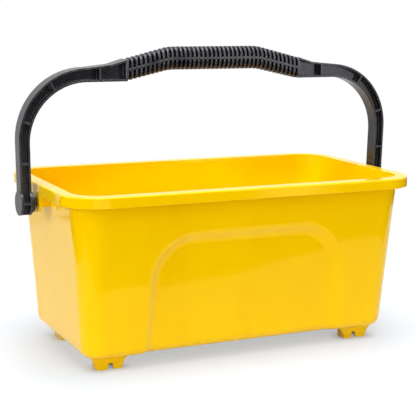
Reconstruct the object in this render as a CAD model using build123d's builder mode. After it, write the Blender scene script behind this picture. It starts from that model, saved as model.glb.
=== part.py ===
from build123d import *
import os
from math import atan2, cos, hypot, radians, sin, tan

# Window cleaning bucket: a rectangular tub on four feet, with a bail handle that swings about its ends.
# Millimetres. X runs along the tub, Y from front to rear, Z up. The feet stand on Z = 0 and the tub is
# centred on X = 0, Y = 0. Two mouldings, one node each: tub and handle.

# Tub, overall
rim_length = 480.0
rim_width = 270.9
rim_corner_radius = 48.0
tub_depth = 204.3
foot_height = 17.6

# Tub, walls and floor
wall_thickness = 2.6
floor_thickness = 3.0
end_draft = 4.34
side_draft = 4.62
base_corner_radius = 24.0
base_round = 12.0
inside_round = 9.2

# Tub, turned-down rim
rim_overhang = 13.1
rim_height = 13.2
rim_thickness = 2.8
rim_outer_round = 2.2

# Tub, arched recess in each long wall
arch_foot_width = 274.0
arch_lean = 3.0
arch_height = 150.5
arch_corner_radius = 59.0
arch_bevel = 10.0
arch_depth_low = 5.2
arch_depth_high = 8.2
arch_round_margin = 1.2

# Tub, pivot ears under the middle of each end of the rim
ear_width = 31.0
ear_drop = 28.5
ear_wall = 2.6
ear_plate = 3.6
ear_tongue_radius = 13.3

# Tub, hollow corner feet
foot_inset_end = 19.4
foot_inset_side = 18.8
foot_length = 32.1
front_foot_depth = 19.4
rear_foot_depth = 34.5
rear_foot_leg = 17.3
rear_foot_corner_radius = 12.0
foot_corner_radius = 4.0
foot_draft = 4.0
rear_root_round = 4.0
foot_wall = 2.6
foot_roof = 1.2
foot_flare_radius = 27.9
foot_flare_start = -4.0
foot_flare_depth = 6.0
notch_offset = 14.4
notch_width = 6.8
notch_height = 8.0

# Pivot
pivot_drop = 24.2
stud_diameter = 12.0
pivot_clearance = 0.08
side_play = 3.5
stud_lip = 0.6
stud_lip_length = 2.4
stud_split = 1.8
stud_split_length = 9.0

# Handle, arms
arm_gap = 8.9
arm_thickness = 13.7
arm_lean = 1.2
arm_depth = 18.0
shoulder_depth = 22.0
flange_thickness = 2.3
web_thickness = 2.8
rib_thickness = 2.2
swing_clearance = 9.7
inner_bend_margin = 25.0
outer_bend_radius = 88.5
shoulder_thickness = 17.65
shoulder_rise = 3.4
shoulder_run = 31.0
flare_round = 14.0
arm_rib_height = 48.7
bend_rib_low = 18.0
bend_rib_high = 57.3
shoulder_rib_offset = 17.4

# Handle, eyes
eye_diameter = 31.0
eye_plate = 2.9
eye_proud = 0.9
eye_rib_inset = 2.5
hub_diameter = 25.0

# Handle, hand grip
grip_length = 244.2
grip_rise = 13.9
grip_flat_length = 126.4
grip_bend_radius = 60.0
fin_count = 41
fin_thickness = 2.3
fin_width = 23.6
fin_height_end = 27.3
fin_height_middle = 29.7
fin_round_end = 7.0
fin_round_middle = 11.6
spine_thickness = 2.4
grip_web_inset = 2.4

# Values that follow from those above
base_height = foot_height
rim_top = foot_height + tub_depth
wall_length = rim_length - 2 * rim_overhang
wall_width = rim_width - 2 * rim_overhang
wall_corner_radius = rim_corner_radius - rim_overhang
base_length = wall_length - 2 * tub_depth * tan(radians(end_draft))
base_width = wall_width - 2 * tub_depth * tan(radians(side_draft))
floor_top = base_height + floor_thickness
arch_round = base_round + arch_round_margin
pivot_height = rim_top - pivot_drop
ear_face = rim_length / 2
hub_face = ear_face + side_play
hole_diameter = stud_diameter + 2 * pivot_clearance
arm_inner = rim_length / 2 + arm_gap
arm_outer = arm_inner + arm_thickness
arch_underside = hypot(rim_width / 2, pivot_drop) + swing_clearance
inner_bend_radius = rim_corner_radius + inner_bend_margin
inner_bend_centre = (arm_inner - inner_bend_radius, arch_underside - inner_bend_radius)
shoulder_top = arch_underside + shoulder_thickness
outer_bend_centre = (arm_outer - outer_bend_radius, shoulder_top - outer_bend_radius)
eye_inner = arm_inner - inner_bend_centre[1] * tan(radians(arm_lean))
eye_outer = eye_inner + arm_thickness + eye_proud
grip_centre = arch_underside + fin_height_end / 2


def wall_plane(side, depth_low, depth_high):
    """Returns the plane that lies depth_low under a long wall at its foot and depth_high at the arch's top.

    The plane's origin is at the height of the tub's underside, its x runs along the tub's X and its y up the
    wall. side is -1 for the front wall and 1 for the rear one.
    """
    lean = tan(radians(side_draft)) - (depth_high - depth_low) / arch_height
    tilt = atan2(lean, 1.0)
    return Plane(
        origin=(0, side * (base_width / 2 - depth_low), base_height),
        x_dir=(-side, 0, 0),
        z_dir=(0, side * cos(tilt), -sin(tilt)),
    )


def arch_sketch(inset):
    """Draws the arch's outline in the sketch that is open, smaller by inset, running on below the wall."""
    below = 3 * base_round
    top = arch_height - inset
    half_low = arch_foot_width / 2 + below * tan(radians(arch_lean)) - inset
    half_high = arch_foot_width / 2 - top * tan(radians(arch_lean)) - inset
    radius = arch_corner_radius - inset
    corners = [(-half_low, -below), (-half_high, top), (half_high, top), (half_low, -below)]
    with BuildLine() as outline:
        FilletPolyline(*corners, radius=radius)
        Line(corners[-1], corners[0])
    make_face(outline.edges())


def arch_outlines(edges, start, at_mouth):
    """Returns those of the edges that run round a recess, at its mouth or at its bottom.

    start is how far the recess's mouth lies behind the wall's outer face.
    """
    found = []
    for edge in edges:
        centre = edge.center()
        up = centre.Z - base_height
        behind = base_width / 2 + up * tan(radians(side_draft)) - abs(centre.Y)
        on_arch = floor_thickness < up < 1.05 * arch_height and abs(centre.X) < arch_foot_width / 2
        if on_arch and edge.length > 2 * arch_bevel and at_mouth == (behind < start + arch_depth_low / 2):
            found.append(edge)
    return found


def flare_sketch(half, top):
    """Draws the front of a foot in the sketch that is open, spreading by an arc on each side."""
    reach = (foot_flare_radius**2 - foot_flare_start**2) ** 0.5
    points = []
    for height in (0, top / 2, top):
        spread = reach - (foot_flare_radius**2 - (height - foot_flare_start) ** 2) ** 0.5
        points.append((half + spread, height))
    with BuildLine() as outline:
        Line((-half, 0), (half, 0))
        ThreePointArc(*points)
        Line(points[-1], (-points[-1][0], top))
        ThreePointArc(*[(-x, y) for x, y in points])
    make_face(outline.edges())


def spine_height(x):
    """Returns the height of the grip's spine above its ends' height, x millimetres from the middle."""
    slope = grip_rise / ((grip_length - grip_flat_length) / 2)
    angle = atan2(slope, 1.0)
    reach = grip_bend_radius * tan(angle / 2)
    start = grip_flat_length / 2 - reach
    out = abs(x) - start
    if out <= 0:
        return grip_rise
    if out < grip_bend_radius * sin(angle):
        return grip_rise - grip_bend_radius + (grip_bend_radius**2 - out**2) ** 0.5
    return grip_rise - slope * (abs(x) - grip_flat_length / 2)


def turned(centre, radius, angle, side):
    """Returns the point at an angle on a circle, in degrees from X, on the handle's right or left side."""
    x = centre[0] + radius * cos(radians(angle))
    y = centre[1] + radius * sin(radians(angle))
    return (side * x, y)


def leant(point, height, side):
    """Returns the point that lies straight down the leaning arm from a point, at a height above the pivot."""
    shift = (point[1] - height) * tan(radians(arm_lean))
    return (point[0] - side * shift, height)


def bar_sketch(side):
    """Draws one half of the handle, from the grip's end plate to the pivot, in the sketch that is open."""
    middle = 45 - arm_lean
    inner_start = (side * inner_bend_centre[0], arch_underside)
    inner_end = turned(inner_bend_centre, inner_bend_radius, -arm_lean, side)
    outer_start = turned(outer_bend_centre, outer_bend_radius, -arm_lean, side)
    outer_end = (side * outer_bend_centre[0], shoulder_top)
    flare_start = (side * (outer_bend_centre[0] - shoulder_run), shoulder_top + shoulder_rise)
    plate_low = (side * grip_length / 2, arch_underside)
    plate_high = (side * grip_length / 2, arch_underside + fin_height_end)
    foot_inner = leant(inner_end, -flange_thickness / 2, side)
    foot_outer = leant(outer_start, -flange_thickness / 2, side)
    with BuildLine() as outline:
        Line(plate_low, inner_start)
        ThreePointArc(inner_start, turned(inner_bend_centre, inner_bend_radius, middle, side), inner_end)
        Polyline(inner_end, foot_inner, foot_outer, outer_start)
        ThreePointArc(outer_start, turned(outer_bend_centre, outer_bend_radius, middle, side), outer_end)
        FilletPolyline(outer_end, flare_start, plate_high, radius=flare_round)
        Line(plate_high, plate_low)
    make_face(outline.edges())


def pocket_sketch(side):
    """Draws the channel of one half of the handle, less its cross ribs, in the sketch that is open."""
    bar_sketch(side)
    offset(amount=-flange_thickness, mode=Mode.REPLACE)
    long = 3 * shoulder_thickness
    middle_radius = (inner_bend_radius + outer_bend_radius) / 2
    arm_middle = arm_inner + arm_thickness / 2
    arm_shift = (inner_bend_centre[1] - arm_rib_height) * tan(radians(arm_lean))
    with Locations((side * (arm_middle - arm_shift), arm_rib_height)):
        Rectangle(long, rib_thickness, mode=Mode.SUBTRACT)
    for angle in (bend_rib_low, bend_rib_high):
        with Locations(turned(inner_bend_centre, middle_radius, angle, side)):
            Rectangle(long, rib_thickness, rotation=side * angle, mode=Mode.SUBTRACT)
    with Locations((side * (inner_bend_centre[0] - shoulder_rib_offset), shoulder_top)):
        Rectangle(rib_thickness, long, mode=Mode.SUBTRACT)


def spine_band(low, high):
    """Draws the band along the grip's spine between two heights above it, in the sketch that is open."""
    half = grip_length / 2
    flat = grip_flat_length / 2
    with BuildLine() as outline:
        for shift in (low, high):
            ends = grip_centre + shift
            middle = ends + grip_rise
            line = [(-half, ends), (-flat, middle), (flat, middle), (half, ends)]
            FilletPolyline(*line, radius=grip_bend_radius)
        for side in (-1, 1):
            Line((side * half, grip_centre + low), (side * half, grip_centre + high))
    make_face(outline.edges())


os.makedirs("parts", exist_ok=True)

# The arched recess as a cutting tool, and the same grown by the wall for the inside of the tub
with BuildPart() as recess:
    for side in (-1, 1):
        with BuildSketch(wall_plane(side, 0, 0)) as mouth:
            arch_sketch(0)
        with BuildSketch(wall_plane(side, arch_depth_low, arch_depth_high)):
            arch_sketch(arch_bevel)
        loft(ruled=True)
        extrude(mouth.sketch, amount=2 * wall_thickness)

bevel_angle = atan2((arch_depth_low + arch_depth_high) / 2, arch_bevel)
recess_grow = wall_thickness * tan(bevel_angle / 2)

with BuildPart() as cavity:
    with BuildSketch(Plane.XY.offset(floor_top)):
        inner_low_length = base_length + 2 * floor_thickness * tan(radians(end_draft)) - 2 * wall_thickness
        inner_low_width = base_width + 2 * floor_thickness * tan(radians(side_draft)) - 2 * wall_thickness
        RectangleRounded(inner_low_length, inner_low_width, base_corner_radius - wall_thickness)
    with BuildSketch(Plane.XY.offset(rim_top)):
        inner_high_length = wall_length - 2 * wall_thickness
        inner_high_width = wall_width - 2 * wall_thickness
        RectangleRounded(inner_high_length, inner_high_width, wall_corner_radius - wall_thickness)
    loft(ruled=True)
    for side in (-1, 1):
        with BuildSketch(wall_plane(side, wall_thickness, wall_thickness)) as mouth:
            arch_sketch(-recess_grow)
        with BuildSketch(
            wall_plane(side, arch_depth_low + wall_thickness, arch_depth_high + wall_thickness)
        ):
            arch_sketch(arch_bevel - recess_grow)
        loft(ruled=True, mode=Mode.SUBTRACT)
        extrude(mouth.sketch, amount=2 * wall_thickness, mode=Mode.SUBTRACT)
    fillet(arch_outlines(cavity.edges(), wall_thickness, False), arch_round)
    fillet(arch_outlines(cavity.edges(), wall_thickness, True), arch_round)
    fillet(cavity.faces().sort_by(Axis.Z)[0].edges(), inside_round)

# Tub, turned-down rim: an upside-down tray, whose middle goes when the inside is taken out
with BuildPart() as rim:
    with BuildSketch(Plane.XY.offset(rim_top)):
        RectangleRounded(rim_length, rim_width, rim_corner_radius)
    extrude(amount=-rim_height)
    fillet(rim.faces().sort_by(Axis.Z)[-1].edges(), rim_outer_round)
    with BuildSketch(Plane.XY.offset(rim_top - rim_thickness)):
        RectangleRounded(
            rim_length - 2 * rim_thickness, rim_width - 2 * rim_thickness, rim_corner_radius - rim_thickness
        )
    extrude(amount=-rim_height, mode=Mode.SUBTRACT)

# Tub, pivot ears: a plate flush with the rim's skirt, two side walls that join it to the tub's end
with BuildPart() as ears:
    for side in (-1, 1):
        ear_plane = Plane(origin=(side * ear_face, 0, rim_top), x_dir=(0, side, 0), z_dir=(side, 0, 0))
        ear_top = rim_outer_round
        with BuildSketch(ear_plane):
            with Locations((0, -(ear_drop + ear_top) / 2)):
                Rectangle(ear_width, ear_drop - ear_top)
            with Locations((0, -pivot_drop)):
                Circle(ear_tongue_radius)
        extrude(amount=-ear_plate)
        with BuildSketch(ear_plane):
            with Locations((0, -(ear_drop + ear_top) / 2)):
                with GridLocations(ear_width - ear_wall, 1, 2, 1):
                    Rectangle(ear_wall, ear_drop - ear_top)
        extrude(amount=-(rim_overhang + ear_drop * tan(radians(end_draft)) + wall_thickness))

# Tub, one front foot, towards +X: a hollow block whose front wall spreads in two curves to meet the base
foot_end = base_length / 2 - foot_inset_end
foot_side = base_width / 2 - foot_inset_side
foot_top = base_height + floor_thickness / 2
foot_middle = foot_end - foot_length / 2
notch_middle = foot_end - foot_length + notch_offset
front_plane = Plane(
    origin=(foot_middle, -foot_side, 0),
    x_dir=(1, 0, 0),
    z_dir=(0, -cos(radians(foot_draft)), -sin(radians(foot_draft))),
)
with BuildPart() as front_foot:
    with BuildSketch() as front_foot_plan:
        with Locations((foot_middle, -foot_side + front_foot_depth / 2)):
            RectangleRounded(foot_length, front_foot_depth, foot_corner_radius)
    extrude(amount=foot_top, taper=-foot_draft)
    with BuildSketch(front_plane):
        flare_sketch(foot_length / 2, foot_top)
    extrude(amount=-foot_flare_depth)

# Tub, one rear foot, towards +X: it runs further along the end wall
rear_foot_points = [
    (foot_end - foot_length, foot_side),
    (foot_end, foot_side),
    (foot_end, foot_side - rear_foot_depth),
    (foot_end - rear_foot_leg, foot_side - rear_foot_depth),
    (foot_end - foot_length, foot_side - rear_foot_leg),
]
rear_foot_radii = [foot_corner_radius, rear_foot_corner_radius] + [foot_corner_radius] * 3
with BuildPart() as rear_foot:
    with BuildSketch() as rear_foot_plan:
        with BuildLine():
            FilletPolyline(*rear_foot_points, radius=rear_foot_radii, close=True)
        make_face()
    extrude(amount=foot_top, taper=-foot_draft)

# Tub, the inside of the two feet, open below, each with a drain notch in its outer wall
with BuildPart() as foot_hollow:
    for plan in (front_foot_plan.sketch, rear_foot_plan.sketch):
        with BuildSketch():
            add(plan)
            offset(amount=-foot_wall, mode=Mode.REPLACE)
        extrude(amount=foot_height - foot_roof, taper=-foot_draft)
    for side in (-1, 1):
        notch_face = side * (foot_side + 2 * foot_wall)
        notch_plane = Plane(origin=(notch_middle, notch_face, 0), x_dir=(1, 0, 0), z_dir=(0, -1, 0))
        with BuildSketch(notch_plane):
            with Locations((0, (notch_height - notch_width / 2) / 2)):
                Rectangle(notch_width, notch_height - notch_width / 2)
            with Locations((0, notch_height - notch_width / 2)):
                Circle(notch_width / 2)
        extrude(amount=side * front_foot_depth / 2)

# Tub: outer walls, recess, rim, ears and feet; then the inside is taken out
with BuildPart() as tub:
    with BuildSketch(Plane.XY.offset(base_height)):
        RectangleRounded(base_length, base_width, base_corner_radius)
    with BuildSketch(Plane.XY.offset(rim_top)):
        RectangleRounded(wall_length, wall_width, wall_corner_radius)
    loft(ruled=True)
    add(recess.part, mode=Mode.SUBTRACT)
    fillet(arch_outlines(tub.edges(), 0, False), arch_round)
    fillet(arch_outlines(tub.edges(), 0, True), arch_round)
    fillet(tub.faces().sort_by(Axis.Z)[0].edges(), base_round)
    for foot in (front_foot.part, rear_foot.part):
        add([foot, mirror(foot, Plane.YZ, mode=Mode.PRIVATE)])
    rear_roots = [
        edge
        for edge in tub.edges().filter_by_position(Axis.Z, base_height - 0.01, base_height + 0.01)
        if foot_side - 1.5 * rear_foot_depth < edge.center().Y < foot_side + rear_root_round
        and foot_end - 1.5 * foot_length < abs(edge.center().X) < foot_end + rear_root_round
    ]
    fillet(rear_roots, rear_root_round)
    add(rim.part)
    add(ears.part)
    add(cavity.part, mode=Mode.SUBTRACT)
    add([foot_hollow.part, mirror(foot_hollow.part, Plane.YZ, mode=Mode.PRIVATE)], mode=Mode.SUBTRACT)
    for side in (-1, 1):
        hole_plane = Plane(origin=(side * ear_face, 0, pivot_height), x_dir=(0, side, 0), z_dir=(side, 0, 0))
        with BuildSketch(hole_plane):
            Circle(hole_diameter / 2)
        extrude(amount=-2 * ear_plate, mode=Mode.SUBTRACT)

tub.part.label = "tub"
export_step(tub.part, "parts/tub.step")

# Handle: the arms as two halves of a solid bar, narrower towards the pivots, with channels front and rear
bar_plane = Plane(origin=(0, 0, pivot_height), x_dir=(1, 0, 0), z_dir=(0, -1, 0))
with BuildPart() as handle:
    for side in (-1, 1):
        with BuildSketch(bar_plane):
            bar_sketch(side)
    extrude(amount=shoulder_depth / 2, both=True)
    bar_top = arch_underside + 2 * fin_height_middle
    depth_points = [
        (-arm_depth / 2, -eye_diameter),
        (arm_depth / 2, -eye_diameter),
        (arm_depth / 2, inner_bend_centre[1]),
        (shoulder_depth / 2, arch_underside),
        (shoulder_depth / 2, bar_top),
        (-shoulder_depth / 2, bar_top),
        (-shoulder_depth / 2, arch_underside),
        (-arm_depth / 2, inner_bend_centre[1]),
    ]
    with BuildSketch(Plane(origin=(0, 0, pivot_height), x_dir=(0, 1, 0), z_dir=(1, 0, 0))):
        Polygon(*depth_points, align=None)
    extrude(amount=2 * arm_outer, both=True, mode=Mode.INTERSECT)
    for face in (-1, 1):
        for side in (-1, 1):
            with BuildSketch(bar_plane.offset(face * web_thickness / 2)):
                pocket_sketch(side)
        extrude(amount=face * shoulder_depth, mode=Mode.SUBTRACT)

    # Eyes: two plates with a web and a cross rib between them, then the hub and the split stud
    for side in (-1, 1):
        eye_plane = Plane(origin=(0, 0, pivot_height), x_dir=(0, side, 0), z_dir=(side, 0, 0))
        for start in (eye_inner, eye_outer - eye_plate):
            with BuildSketch(eye_plane.offset(start)):
                Circle(eye_diameter / 2)
            extrude(amount=eye_plate)
        with BuildSketch(eye_plane.offset(eye_inner)):
            with Locations((0, -eye_diameter / 4)):
                Rectangle(web_thickness, eye_diameter / 2 - eye_plate / 4)
            Rectangle(eye_diameter - 2 * eye_rib_inset, flange_thickness)
        extrude(amount=eye_outer - eye_inner)
        with BuildSketch(eye_plane.offset(hub_face)):
            Circle(hub_diameter / 2)
        extrude(amount=eye_inner - hub_face)
        stud_neck = ear_face - ear_plate - side_play
        stud_end = stud_neck - stud_lip_length
        with BuildSketch(eye_plane.offset(stud_end)):
            Circle(stud_diameter / 2)
        extrude(amount=eye_inner - stud_end)
        with BuildSketch(eye_plane.offset(stud_end)):
            Circle(stud_diameter / 2 - stud_lip)
        with BuildSketch(eye_plane.offset(stud_neck - stud_lip)):
            Circle(stud_diameter / 2 + stud_lip)
        loft()
        with BuildSketch(eye_plane.offset(stud_neck - stud_lip)):
            Circle(stud_diameter / 2 + stud_lip)
        extrude(amount=stud_lip)
        with BuildSketch(eye_plane.offset(stud_end)):
            Rectangle(2 * stud_diameter, stud_split)
        extrude(amount=stud_split_length, mode=Mode.SUBTRACT)

    # Hand grip: a web on edge, a flat spine and a row of upright fins
    web_half = fin_height_end / 2 - grip_web_inset
    with BuildSketch(bar_plane):
        spine_band(-web_half, web_half)
    extrude(amount=web_thickness / 2, both=True)
    with BuildSketch(bar_plane):
        spine_band(-spine_thickness / 2, spine_thickness / 2)
    extrude(amount=fin_width / 2, both=True)
    for number in range(fin_count):
        fin_x = grip_length * (number / (fin_count - 1) - 0.5)
        share = spine_height(fin_x) / grip_rise
        height = fin_height_end + share * (fin_height_middle - fin_height_end)
        radius = fin_round_end + share * (fin_round_middle - fin_round_end)
        fin_centre = (fin_x, 0, pivot_height + grip_centre + spine_height(fin_x))
        with BuildSketch(Plane(origin=fin_centre, x_dir=(0, 1, 0), z_dir=(1, 0, 0))):
            RectangleRounded(fin_width, height, radius)
    extrude(amount=fin_thickness / 2, both=True)

handle.part.label = "handle"
export_step(handle.part, "parts/handle.step")
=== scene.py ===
"""Dresses the window cleaning bucket on its CAD frame: two polypropylene mouldings in a white studio."""

import logging
from dataclasses import dataclass
from enum import Enum
from math import cos, radians, sin
from typing import Any

import bpy
from mathutils import Matrix, Vector


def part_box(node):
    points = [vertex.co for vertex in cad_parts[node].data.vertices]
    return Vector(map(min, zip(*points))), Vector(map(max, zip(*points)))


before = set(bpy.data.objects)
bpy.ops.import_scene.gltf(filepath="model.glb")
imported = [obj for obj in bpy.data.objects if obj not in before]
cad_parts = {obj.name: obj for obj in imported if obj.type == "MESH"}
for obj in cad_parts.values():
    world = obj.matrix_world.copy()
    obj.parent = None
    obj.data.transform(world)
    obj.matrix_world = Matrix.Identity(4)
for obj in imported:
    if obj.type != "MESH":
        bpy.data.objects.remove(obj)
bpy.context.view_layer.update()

MILLIMETRE = 0.001
WHITE = "#FFFFFF"

# Heights that the scuffed and painted-highlight edges follow, in metres, as the frame gives them
FOOT_LOW, RIM_TOP = (corner.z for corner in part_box("tub"))
EYE_LOW, GRIP_TOP = (corner.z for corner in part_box("handle"))

# How far the rounded normal agrees with the true one: on a flat place, and right on an edge
FLAT_AGREEMENT = 0.99
EDGE_AGREEMENT = 0.8

# The stretch of a noise's values over which the streaks come up, and the duller places of the skin
STREAK_RISE = (0.35, 0.7)
DULL_RISE = (0.3, 0.7)

SENSOR_MM = 36.0
BUCKET_MIDDLE = (0.0, 0.0, 0.15)
OPEN_SPREAD = 180.0
GRID_SPREAD = 24.0

log = logging.getLogger("bucket")


@dataclass(frozen=True)
class WearAndSheenBand:
    """A stretch of height over which a moulding's edges take more and more of the scuffed colour and the
    painted highlight.

    Attributes:
        start: the height where the wear begins to grow, in metres.
        full: the height where it stops growing, in metres.
        least: the mask's value before the start, from nought to one.
        most: the mask's value past the full height, from nought to one.
    """

    start: float
    full: float
    least: float = 0.0
    most: float = 1.0


class WearAndSheen(Enum):
    """Where handling wears a moulding first, and where its edges get the painted highlight."""

    RIM_AND_FEET = (
        WearAndSheenBand(FOOT_LOW + 24 * MILLIMETRE, FOOT_LOW + 4 * MILLIMETRE),
        WearAndSheenBand(RIM_TOP - 17 * MILLIMETRE, RIM_TOP - 7 * MILLIMETRE, most=0.6),
    )
    # The handle's upper band keeps at least 0.6 all down the handle, so the painted highlight lies along
    # all its edges and ribs.
    GRIP_AND_EYES = (
        WearAndSheenBand(EYE_LOW + 33 * MILLIMETRE, EYE_LOW + 18 * MILLIMETRE, most=0.8),
        WearAndSheenBand(GRIP_TOP - 47 * MILLIMETRE, GRIP_TOP - 27 * MILLIMETRE, least=0.6),
    )


def linear(hex_colour: str) -> tuple[float, float, float, float]:
    """Turns an sRGB hex colour into the linear colour that a shader takes.

    Args:
        hex_colour: six hex digits after a hash sign.

    Returns:
        Red, green, blue and an alpha of one.
    """
    digits = hex_colour.lstrip("#")
    channels = []
    for start in (0, 2, 4):
        value = int(digits[start:start + 2], 16) / 255
        channels.append(value / 12.92 if value <= 0.04045 else ((value + 0.055) / 1.055) ** 2.4)
    return (channels[0], channels[1], channels[2], 1.0)


def add_node(
    tree: bpy.types.NodeTree,
    kind: str,
    settings: dict[str, Any] | None = None,
    inputs: dict[str | int, Any] | None = None,
) -> bpy.types.Node:
    """Adds one shader node with its settings, values and links.

    Args:
        tree: the node tree that gets the node.
        kind: Blender's type name for the node.
        settings: the node's own properties, by name.
        inputs: what goes into its sockets, by name or number: a plain value or an output to link.

    Returns:
        The new node.
    """
    node = tree.nodes.new(kind)
    for name, value in (settings or {}).items():
        setattr(node, name, value)
    for name, value in (inputs or {}).items():
        if isinstance(value, bpy.types.NodeSocket):
            tree.links.new(value, node.inputs[name])
        else:
            node.inputs[name].default_value = value
    return node


def bare_material(name: str) -> bpy.types.Material:
    """Makes a material whose node tree is still empty.

    Args:
        name: the material's name.

    Returns:
        The material.
    """
    material = bpy.data.materials.new(name)
    material.use_nodes = True
    material.node_tree.nodes.clear()
    return material


@dataclass(frozen=True)
class MouldedPolypropylene:
    """Polypropylene as it leaves an injection mould: coloured right through, with the steel's own finish.

    Attributes:
        name: the material's name.
        pigment: the colour of most of the surface.
        streak: the colour where the pigment is a little less well mixed.
        rubbed_and_sheen: the colour laid on its edges, partly real scuffing from handling and partly a
            painted highlight along them.
        roughness: how rough the moulded skin is.
        rubbed_roughness: how rough the skin is on those edges.
        specular: the strength of the reflection at right angles.
        gloss_tint: the colour that the skin lends to that reflection.
        grain_mm: the pitch of the mould's own surface grain.
        grain_depth_mm: how deep that grain is.
        sink_mm: the pitch of the slow waves left by shrinkage.
        sink_depth_mm: how deep those waves are.
        edge_mm: the small round on every moulded edge.
        rub_and_sheen_start: how much of the edges stays without that scuffed and painted-highlight colour,
            from nought to one.
        wear_and_sheen: the heights where its edges take that colour, where handling wears it first and
            where the painted highlight goes.
        ior: polypropylene's index of refraction.
        flow_mm: the pitch of the pigment's streaks.
        flow_squeeze: how much the streaks are drawn out up the wall, as a factor on that axis.
        skin_mm: the pitch of the skin's duller and brighter places.
        skin_spread: how far their roughness lies from the skin's own.
        rub_and_sheen_patch_mm: the pitch of the scuffed and painted-highlight patches along an edge.
        rub_and_sheen_blend: how softly such a patch ends.
        rub_and_sheen_reach: how many edge rounds that colour reaches in from an edge.
    """

    name: str
    pigment: str
    streak: str
    rubbed_and_sheen: str
    roughness: float
    rubbed_roughness: float
    specular: float
    gloss_tint: str
    grain_mm: float
    grain_depth_mm: float
    sink_mm: float
    sink_depth_mm: float
    edge_mm: float
    rub_and_sheen_start: float
    wear_and_sheen: WearAndSheen
    ior: float = 1.49
    flow_mm: float = 60.0
    flow_squeeze: float = 0.3
    skin_mm: float = 9.0
    skin_spread: float = 0.03
    rub_and_sheen_patch_mm: float = 22.0
    rub_and_sheen_blend: float = 0.2
    rub_and_sheen_reach: float = 1.6

    def rubbed_and_sheen_edges(
        self, tree: bpy.types.NodeTree, place: bpy.types.NodeSocket,
    ) -> bpy.types.NodeSocket:
        """Finds the edges that take the scuffed colour and the painted highlight.

        Args:
            tree: the material's node tree.
            place: the Object coordinates.

        Returns:
            A mask that is one on those edges, partly where the skin is scuffed and partly where it gets
            painted highlight.
        """
        surface = add_node(tree, "ShaderNodeNewGeometry")
        rounded = add_node(
            tree, "ShaderNodeBevel", {"samples": 6}, {"Radius": self.rub_and_sheen_reach * self.edge_mm * MILLIMETRE},
        )
        agreement = add_node(
            tree, "ShaderNodeVectorMath", {"operation": "DOT_PRODUCT"},
            {0: rounded.outputs["Normal"], 1: surface.outputs["Normal"]},
        )
        edge = add_node(
            tree, "ShaderNodeMapRange", None,
            {"Value": agreement.outputs["Value"], "From Min": FLAT_AGREEMENT, "From Max": EDGE_AGREEMENT},
        )
        patches = add_node(
            tree, "ShaderNodeTexNoise", None,
            {"Vector": place, "Scale": 1 / (self.rub_and_sheen_patch_mm * MILLIMETRE), "Detail": 4.0},
        )
        chosen = add_node(
            tree, "ShaderNodeMapRange", None,
            {"Value": patches.outputs["Fac"], "From Min": self.rub_and_sheen_start,
             "From Max": self.rub_and_sheen_start + self.rub_and_sheen_blend},
        )
        height = add_node(tree, "ShaderNodeSeparateXYZ", None, {"Vector": place})
        low, high = (
            add_node(
                tree, "ShaderNodeMapRange", None,
                {"Value": height.outputs["Z"], "From Min": band.start, "From Max": band.full,
                 "To Min": band.least, "To Max": band.most},
            )
            for band in self.wear_and_sheen.value
        )
        reached = add_node(
            tree, "ShaderNodeMath", {"operation": "MAXIMUM"},
            {0: low.outputs["Result"], 1: high.outputs["Result"]},
        )
        patchy = add_node(
            tree, "ShaderNodeMath", {"operation": "MULTIPLY"},
            {0: edge.outputs["Result"], 1: chosen.outputs["Result"]},
        )
        mask = add_node(
            tree, "ShaderNodeMath", {"operation": "MULTIPLY"},
            {0: patchy.outputs["Value"], 1: reached.outputs["Value"]},
        )
        return mask.outputs["Value"]

    def relief(self, tree: bpy.types.NodeTree, place: bpy.types.NodeSocket) -> bpy.types.NodeSocket:
        """Lays the shrinkage waves and the mould's grain on the rounded edges.

        Args:
            tree: the material's node tree.
            place: the Object coordinates.

        Returns:
            The normal for the shader.
        """
        rounded = add_node(tree, "ShaderNodeBevel", {"samples": 8}, {"Radius": self.edge_mm * MILLIMETRE})
        waves = add_node(
            tree, "ShaderNodeTexNoise", None,
            {"Vector": place, "Scale": 1 / (self.sink_mm * MILLIMETRE), "Detail": 1.0},
        )
        waved = add_node(
            tree, "ShaderNodeBump", None,
            {"Strength": 1.0, "Distance": self.sink_depth_mm * MILLIMETRE,
             "Height": waves.outputs["Fac"], "Normal": rounded.outputs["Normal"]},
        )
        grain = add_node(
            tree, "ShaderNodeTexNoise", None,
            {"Vector": place, "Scale": 1 / (self.grain_mm * MILLIMETRE), "Detail": 2.0},
        )
        grained = add_node(
            tree, "ShaderNodeBump", None,
            {"Strength": 1.0, "Distance": self.grain_depth_mm * MILLIMETRE,
             "Height": grain.outputs["Fac"], "Normal": waved.outputs["Normal"]},
        )
        return grained.outputs["Normal"]

    def make(self) -> bpy.types.Material:
        """Builds the material.

        Returns:
            The finished material.
        """
        material = bare_material(self.name)
        tree = material.node_tree
        place = add_node(tree, "ShaderNodeTexCoord").outputs["Object"]
        drawn_out = add_node(
            tree, "ShaderNodeMapping", None, {"Vector": place, "Scale": (1.0, 1.0, self.flow_squeeze)},
        )
        flow = add_node(
            tree, "ShaderNodeTexNoise", None,
            {"Vector": drawn_out.outputs["Vector"], "Scale": 1 / (self.flow_mm * MILLIMETRE),
             "Detail": 5.0, "Distortion": 0.6},
        )
        mixed = add_node(
            tree, "ShaderNodeMapRange", None,
            {"Value": flow.outputs["Fac"], "From Min": STREAK_RISE[0], "From Max": STREAK_RISE[1]},
        )
        colour = add_node(
            tree, "ShaderNodeMix", {"data_type": "RGBA"},
            {0: mixed.outputs["Result"], 6: linear(self.pigment), 7: linear(self.streak)},
        )
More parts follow.
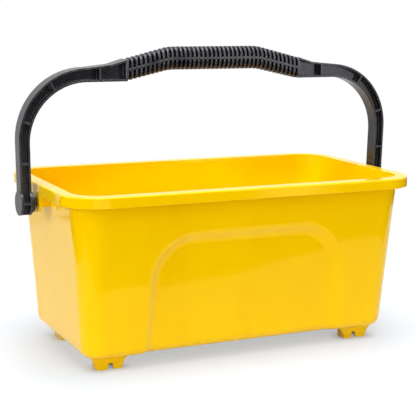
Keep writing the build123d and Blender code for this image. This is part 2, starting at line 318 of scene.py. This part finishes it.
        # Edges take a lighter colour: partly real scuffing from handling, partly a painted highlight
        # standing in for the light that edges catch.
        rubbed_and_sheen = self.rubbed_and_sheen_edges(tree, place)
        worn_and_sheen_colour = add_node(
            tree, "ShaderNodeMix", {"data_type": "RGBA"},
            {0: rubbed_and_sheen, 6: colour.outputs[2], 7: linear(self.rubbed_and_sheen)},
        )
        skin = add_node(
            tree, "ShaderNodeTexNoise", None,
            {"Vector": place, "Scale": 1 / (self.skin_mm * MILLIMETRE), "Detail": 3.0},
        )
        rough = add_node(
            tree, "ShaderNodeMapRange", None,
            {"Value": skin.outputs["Fac"], "From Min": DULL_RISE[0], "From Max": DULL_RISE[1],
             "To Min": self.roughness - self.skin_spread, "To Max": self.roughness + self.skin_spread},
        )
        worn = add_node(
            tree, "ShaderNodeMix", None,
            {0: rubbed_and_sheen, 2: rough.outputs["Result"], 3: self.rubbed_roughness},
        )
        shader = add_node(
            tree, "ShaderNodeBsdfPrincipled", None,
            {"Base Color": worn_and_sheen_colour.outputs[2], "Roughness": worn.outputs[0], "IOR": self.ior,
             "Specular IOR Level": self.specular, "Specular Tint": linear(self.gloss_tint),
             "Normal": self.relief(tree, place)},
        )
        add_node(tree, "ShaderNodeOutputMaterial", None, {"Surface": shader.outputs["BSDF"]})
        return material


# Injection-moulded polypropylene, polished steel mould: a clear wet-looking gloss over a saturated warm
# yellow, with long soft reflections that bend a little where the wall has shrunk.
TUB_YELLOW = MouldedPolypropylene(
    name="yellow_polypropylene_polished_mould",
    # rubbed: a pale yellow for the rim's and feet's edges, partly scuffing, partly a painted highlight
    # along them.
    pigment="#F6C600", streak="#F3C100", rubbed_and_sheen="#FFDB66",
    roughness=0.07, rubbed_roughness=0.42, specular=0.62, gloss_tint="#FFDC70",
    grain_mm=1.4, grain_depth_mm=0.01, sink_mm=55, sink_depth_mm=0.25,
    edge_mm=1.0, rub_and_sheen_start=0.46, wear_and_sheen=WearAndSheen.RIM_AND_FEET,
)

# Injection-moulded polypropylene, spark-eroded steel mould: a satin near-black that takes a broad grey
# sheen, with a fine even grain, drawn a little coarse so that it shows.
HANDLE_BLACK = MouldedPolypropylene(
    name="black_polypropylene_spark_eroded_mould",
    # rubbed: a mid grey for the edges and ribs, partly scuffing, partly a painted highlight that makes them
    # read as light lines.
    pigment="#1B1C1F", streak="#1F2024", rubbed_and_sheen="#66686C",
    roughness=0.24, rubbed_roughness=0.28, specular=0.5, gloss_tint="#F4F5FF",
    grain_mm=1.1, grain_depth_mm=0.006, sink_mm=30, sink_depth_mm=0.1,
    edge_mm=1.1, rub_and_sheen_start=0.3, wear_and_sheen=WearAndSheen.GRIP_AND_EYES,
)


@dataclass(frozen=True)
class Moulding:
    """One of the bucket's two mouldings, whose shape is its CAD solid.

    Attributes:
        node: the CAD node's name.
        finish: its material.
    """

    node: str
    finish: MouldedPolypropylene

    def dress(self) -> bpy.types.Object:
        """Gives the CAD node its finish.

        Returns:
            The dressed object.
        """
        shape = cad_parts[self.node]
        material = self.finish.make()
        for slot in shape.material_slots:
            slot.material = material
        return shape


def mirrored_rays(tree: bpy.types.NodeTree) -> bpy.types.NodeSocket:
    """Finds the rays that reach a surface by way of gloss or glass.

    Args:
        tree: the node tree of a sheet or of the world.

    Returns:
        One for glossy and transmission rays, else nought.
    """
    rays = add_node(tree, "ShaderNodeLightPath")
    mirrored = add_node(
        tree, "ShaderNodeMath", {"operation": "MAXIMUM"},
        {0: rays.outputs["Is Glossy Ray"], 1: rays.outputs["Is Transmission Ray"]},
    )
    return mirrored.outputs["Value"]


def raise_sheet(name: str, outline: tuple[tuple[float, float], ...], place: Matrix) -> bpy.types.Object:
    """Makes a flat sheet of the stage, with a material that is still empty.

    Args:
        name: the sheet's name.
        outline: its corners in order, in metres.
        place: where it lies and how it is turned.

    Returns:
        The sheet.
    """
    bpy.ops.object.select_all(action="DESELECT")
    bpy.ops.mesh.primitive_circle_add(vertices=len(outline), radius=1.0, fill_type="NGON")
    sheet = bpy.context.active_object
    sheet.name = name
    for vertex, (x, y) in zip(sheet.data.vertices, outline):
        vertex.co = place @ Vector((x, y, 0.0))
    sheet.data.materials.append(bare_material(f"{name}_surface"))
    return sheet


def upright_at(middle: tuple[float, float, float]) -> Matrix:
    """Gives the place of an upright sheet that faces along the bucket's depth, from its middle."""
    return Matrix.Translation(middle) @ Matrix.Rotation(radians(90), 4, "X")


@dataclass(frozen=True)
class Softbox:
    """One soft lamp of the studio.

    Attributes:
        name: the lamp's name.
        place: where it hangs, in metres.
        size: its width and height, in metres.
        power: its power in watts.
        mirrored: whether the gloss mirrors it.
        spread: how wide its grid lets the light out, in degrees.
        aim: the point that it faces, in metres.
    """

    name: str
    place: tuple[float, float, float]
    size: tuple[float, float]
    power: float
    mirrored: bool = False
    spread: float = OPEN_SPREAD
    aim: tuple[float, float, float] = BUCKET_MIDDLE

    def hang(self) -> None:
        """Hangs the lamp and turns it to its aim."""
        lamp = bpy.data.lights.new(self.name, "AREA")
        lamp.shape = "RECTANGLE"
        lamp.size, lamp.size_y = self.size
        lamp.energy = self.power
        lamp.spread = radians(self.spread)
        softbox = bpy.data.objects.new(self.name, lamp)
        softbox.location = self.place
        towards = Vector(self.aim) - Vector(self.place)
        softbox.rotation_euler = towards.to_track_quat("-Z", "Y").to_euler()
        softbox.visible_glossy = self.mirrored
        bpy.context.scene.collection.objects.link(softbox)


@dataclass(frozen=True)
class Card:
    """One upright bright card that only the gloss mirrors.

    Attributes:
        name: the card's name.
        middle: its middle, in metres.
        width: its width, in metres.
        height: its height, in metres.
        strength: how bright it is, where one is white.
    """

    name: str
    middle: tuple[float, float, float]
    width: float
    height: float
    strength: float

    def stand(self) -> None:
        """Stands the card up in the studio."""
        across, up = self.width / 2, self.height / 2
        outline = ((-across, -up), (across, -up), (across, up), (-across, up))
        card = raise_sheet(self.name, outline, upright_at(self.middle))
        tree = card.active_material.node_tree
        glow = add_node(
            tree, "ShaderNodeEmission", None, {"Color": linear(WHITE), "Strength": self.strength},
        )
        add_node(tree, "ShaderNodeOutputMaterial", None, {"Surface": glow.outputs["Emission"]})
        card.visible_camera = False
        card.visible_diffuse = False
        card.visible_shadow = False


@dataclass(frozen=True)
class Table:
    """The white table top, which keeps the bucket's shadow and is plain white further off.

    Attributes:
        outline: its corners, in metres.
        paper: the colour that takes the shadow.
        lift: the colour of the paper's own faint light, which keeps it pale.
        lift_strength: how strong that light is, where one is white.
        feet_shade: how near the feet that light is shut out, in metres.
        base_shade: how near the base the mirrored table darkens, in metres.
        bounce: the colour of the light that the table throws back.
        fade_start: how far from the bucket's middle the paper begins to turn white, in metres.
        fade_end: how far from it the paper is plain white, in metres.
    """

    outline: tuple[tuple[float, float], ...] = (
        (-0.634, -0.242), (-0.360, -0.316), (-0.050, -0.350), (0.100, -0.372), (0.300, -0.438),
        (0.450, -0.460), (0.600, -0.260), (0.950, -0.100), (0.950, 1.600), (-0.266, 1.600),
    )
    paper: str = "#AAADB4"
    lift: str = "#F2F9FF"
    lift_strength: float = 0.49
    feet_shade: float = 0.014
    base_shade: float = 0.03
    bounce: str = "#E8EAEE"
    fade_start: float = 0.35
    fade_end: float = 0.8

    def seen_straight(self, tree: bpy.types.NodeTree) -> bpy.types.NodeSocket:
        """Makes the paper as the camera sees it.

        Args:
            tree: the table's node tree.

        Returns:
            The shader of the paper with its shadow, white further off.
        """
        place = add_node(tree, "ShaderNodeTexCoord").outputs["Object"]
        away = add_node(tree, "ShaderNodeVectorMath", {"operation": "LENGTH"}, {0: place})
        fade = add_node(
            tree, "ShaderNodeMapRange", {"interpolation_type": "SMOOTHSTEP"},
            {"Value": away.outputs["Value"], "From Min": self.fade_start, "From Max": self.fade_end},
        )
        paper = add_node(tree, "ShaderNodeBsdfDiffuse", None, {"Color": linear(self.paper)})
        by_feet = add_node(
            tree, "ShaderNodeAmbientOcclusion", {"samples": 8}, {"Distance": self.feet_shade},
        )
        rise = add_node(
            tree, "ShaderNodeMath", {"operation": "MULTIPLY"},
            {0: by_feet.outputs["AO"], 1: self.lift_strength},
        )
        lift = add_node(
            tree, "ShaderNodeEmission", None,
            {"Color": linear(self.lift), "Strength": rise.outputs["Value"]},
        )
        bright = add_node(
            tree, "ShaderNodeAddShader", None, {0: paper.outputs["BSDF"], 1: lift.outputs["Emission"]},
        )
        white = add_node(tree, "ShaderNodeEmission", None, {"Color": linear(WHITE), "Strength": 1.0})
        seen = add_node(
            tree, "ShaderNodeMixShader", None,
            {0: fade.outputs["Result"], 1: bright.outputs["Shader"], 2: white.outputs["Emission"]},
        )
        return seen.outputs["Shader"]

    def lay(self) -> None:
        """Lays the table top: paper to the camera, white to the gloss, a pale bounce to all else."""
        table = raise_sheet("table_top", self.outline, Matrix.Identity(4))
        tree = table.active_material.node_tree
        bounce = add_node(tree, "ShaderNodeBsdfDiffuse", None, {"Color": linear(self.bounce)})
        by_base = add_node(
            tree, "ShaderNodeAmbientOcclusion", {"samples": 8}, {"Distance": self.base_shade},
        )
        mirror = add_node(
            tree, "ShaderNodeEmission", None,
            {"Color": linear(WHITE), "Strength": by_base.outputs["AO"]},
        )
        rays = add_node(tree, "ShaderNodeLightPath")
        straight = add_node(
            tree, "ShaderNodeMixShader", None,
            {0: rays.outputs["Is Camera Ray"], 1: bounce.outputs["BSDF"], 2: self.seen_straight(tree)},
        )
        chosen = add_node(
            tree, "ShaderNodeMixShader", None,
            {0: mirrored_rays(tree), 1: straight.outputs["Shader"], 2: mirror.outputs["Emission"]},
        )
        add_node(tree, "ShaderNodeOutputMaterial", None, {"Surface": chosen.outputs["Shader"]})


@dataclass(frozen=True)
class Room:
    """The room round the table, which the camera doesn't see and the gloss mirrors as dark.

    Attributes:
        drop: how far the floor lies below the table top, in metres.
        half_width: how far the room reaches to each side, in metres.
        half_depth: how far it reaches to the front and to the rear, in metres.
        wall_top: how high the front wall reaches above the table top, in metres.
        dark: the colour of the wall, and of the floor as the gloss mirrors it.
        pale: the colour of the light that the floor throws back.
    """

    drop: float = 0.75
    half_width: float = 7.0
    half_depth: float = 6.0
    wall_top: float = 1.2
    dark: str = "#3A3A3A"
    pale: str = "#E8EAEE"

    def lay_floor(self) -> None:
        """Lays the floor, dark to the gloss and pale to all else."""
        wide, deep = self.half_width, self.half_depth
        outline = ((-wide, -deep), (wide, -deep), (wide, deep), (-wide, deep))
        floor = raise_sheet("room_floor", outline, Matrix.Translation((0.0, 0.0, -self.drop)))
        floor.visible_camera = False
        tree = floor.active_material.node_tree
        dark = add_node(tree, "ShaderNodeBsdfDiffuse", None, {"Color": linear(self.dark)})
        pale = add_node(tree, "ShaderNodeBsdfDiffuse", None, {"Color": linear(self.pale)})
        chosen = add_node(
            tree, "ShaderNodeMixShader", None,
            {0: mirrored_rays(tree), 1: pale.outputs["BSDF"], 2: dark.outputs["BSDF"]},
        )
        add_node(tree, "ShaderNodeOutputMaterial", None, {"Surface": chosen.outputs["Shader"]})

    def raise_wall(self) -> None:
        """Raises the dark wall in front of the bucket, behind the camera."""
        wide, low, high = self.half_width, -self.drop, self.wall_top
        outline = ((-wide, low), (wide, low), (wide, high), (-wide, high))
        wall = raise_sheet("room_wall", outline, upright_at((0.0, -self.half_depth, 0.0)))
        wall.visible_camera = False
        tree = wall.active_material.node_tree
        dark = add_node(tree, "ShaderNodeBsdfDiffuse", None, {"Color": linear(self.dark)})
        add_node(tree, "ShaderNodeOutputMaterial", None, {"Surface": dark.outputs["BSDF"]})


@dataclass(frozen=True)
class PhotoCamera:
    """The camera, where the photograph was taken from.

    Attributes:
        place: where it stands, in metres.
        yaw: how far it turns to the right of the bucket's depth, in radians.
        pitch: how far it looks up, in radians.
        roll: how far it is tilted, in radians.
        lens_mm: its focal length.
        shift: the lens shift across and up.
    """

    place: tuple[float, float, float] = (-0.6632, -1.3820, 0.4535)
    yaw: float = 0.4426
    pitch: float = -0.1801
    roll: float = 0.0123
    lens_mm: float = 101.6
    shift: tuple[float, float] = (0.0075, -0.0005)

    def set_up(self) -> None:
        """Puts the camera in its place and makes it the scene's own."""
        forward = Vector((
            sin(self.yaw) * cos(self.pitch),
            cos(self.yaw) * cos(self.pitch),
            sin(self.pitch),
        ))
        level_right = Vector((cos(self.yaw), -sin(self.yaw), 0.0))
        level_up = level_right.cross(forward)
        right = cos(self.roll) * level_right + sin(self.roll) * level_up
        up = cos(self.roll) * level_up - sin(self.roll) * level_right
        lens = bpy.data.cameras.new("photo_camera")
        lens.lens = self.lens_mm
        lens.sensor_width = SENSOR_MM
        lens.shift_x, lens.shift_y = self.shift
        camera = bpy.data.objects.new("photo_camera", lens)
        turn = Matrix((right, up, -forward)).transposed().to_4x4()
        camera.matrix_world = Matrix.Translation(self.place) @ turn
        bpy.context.scene.collection.objects.link(camera)
        bpy.context.scene.camera = camera


@dataclass(frozen=True)
class Studio:
    """A white table in soft light, seen from the photograph's side.

    Attributes:
        camera: the camera.
        table: the table top.
        room: the room round it.
        sky_strength: the light from all round.
        cards: the bright cards that only the gloss mirrors.
        lamps: the softboxes.
    """

    camera: PhotoCamera = PhotoCamera()
    table: Table = Table()
    room: Room = Room()
    sky_strength: float = 0.15
    cards: tuple[Card, ...] = (
        Card("right_card", (1.35, -2.2, 0.45), 0.7, 1.0, 3.5),
        Card("right_stand", (1.23, -2.2, -0.17), 0.22, 0.26, 1.8),
        Card("left_card", (-0.42, -1.6, -0.1), 1.24, 0.3, 1.4),
        Card("rear_card", (0.0, 1.0, 0.8), 3.2, 1.6, 0.85),
        Card("rim_card", (-0.50, 0.7, 0.06), 0.24, 0.12, 0.8),
    )
    lamps: tuple[Softbox, ...] = (
        Softbox("front_softbox", (-1.2, -2.4, 0.6), (1.6, 1.6), 20.5),
        Softbox("high_softbox", (-0.5, -1.8, 1.9), (1.0, 1.0), 13.5),
        Softbox("right_softbox", (1.5, -2.0, 0.4), (1.0, 1.0), 10.0),
        Softbox("left_softbox", (-2.2, -0.2, 0.7), (1.2, 1.2), 20.0),
        Softbox("top_softbox", (0.05, -0.1, 2.3), (1.6, 1.6), 59.0, mirrored=True),
        Softbox("rear_softbox", (0.4, 2.0, 1.5), (1.4, 1.4), 16.0),
        Softbox(
            "inside_softbox", (0.05, -0.75, 1.25), (1.7, 0.15), 0.75,
            spread=GRID_SPREAD, aim=(0.05, 0.2, 0.25),
        ),
        Softbox(
            "far_end_softbox", (-0.9, -0.15, 1.05), (0.3, 0.15), 0.13,
            spread=GRID_SPREAD, aim=(0.22, 0.02, 0.2),
        ),
    )

    def set_sky(self) -> None:
        """Lights the studio softly from all round and shows white behind the bucket."""
        world = bpy.data.worlds.new("white_studio")
        bpy.context.scene.world = world
        world.use_nodes = True
        tree = world.node_tree
        tree.nodes.clear()
        soft, white = (
            add_node(tree, "ShaderNodeBackground", None, {"Color": linear(WHITE), "Strength": strength})
            for strength in (self.sky_strength, 1.0)
        )
        rays = add_node(tree, "ShaderNodeLightPath")
        seen = add_node(
            tree, "ShaderNodeMath", {"operation": "MAXIMUM"},
            {0: rays.outputs["Is Camera Ray"], 1: mirrored_rays(tree)},
        )
        chosen = add_node(
            tree, "ShaderNodeMixShader", None,
            {0: seen.outputs["Value"], 1: soft.outputs["Background"], 2: white.outputs["Background"]},
        )
        add_node(tree, "ShaderNodeOutputWorld", None, {"Surface": chosen.outputs["Shader"]})

    def build(self) -> None:
        """Sets up the camera, the sky, the table, the room, the cards and the lamps."""
        self.camera.set_up()
        self.set_sky()
        self.table.lay()
        self.room.lay_floor()
        self.room.raise_wall()
        for card in self.cards:
            card.stand()
        for lamp in self.lamps:
            lamp.hang()
        bpy.context.scene.view_settings.view_transform = "Standard"


def main() -> None:
    """Builds the dressed bucket and its studio in order."""
    logging.basicConfig(level=logging.INFO, format="%(name)s: %(message)s")
    for moulding in (Moulding("tub", TUB_YELLOW), Moulding("handle", HANDLE_BLACK)):
        shape = moulding.dress()
        log.info("dressed %s in %s", shape.name, moulding.finish.name)
    Studio().build()
    log.info("studio ready")


if __name__ == "__main__":
    main()
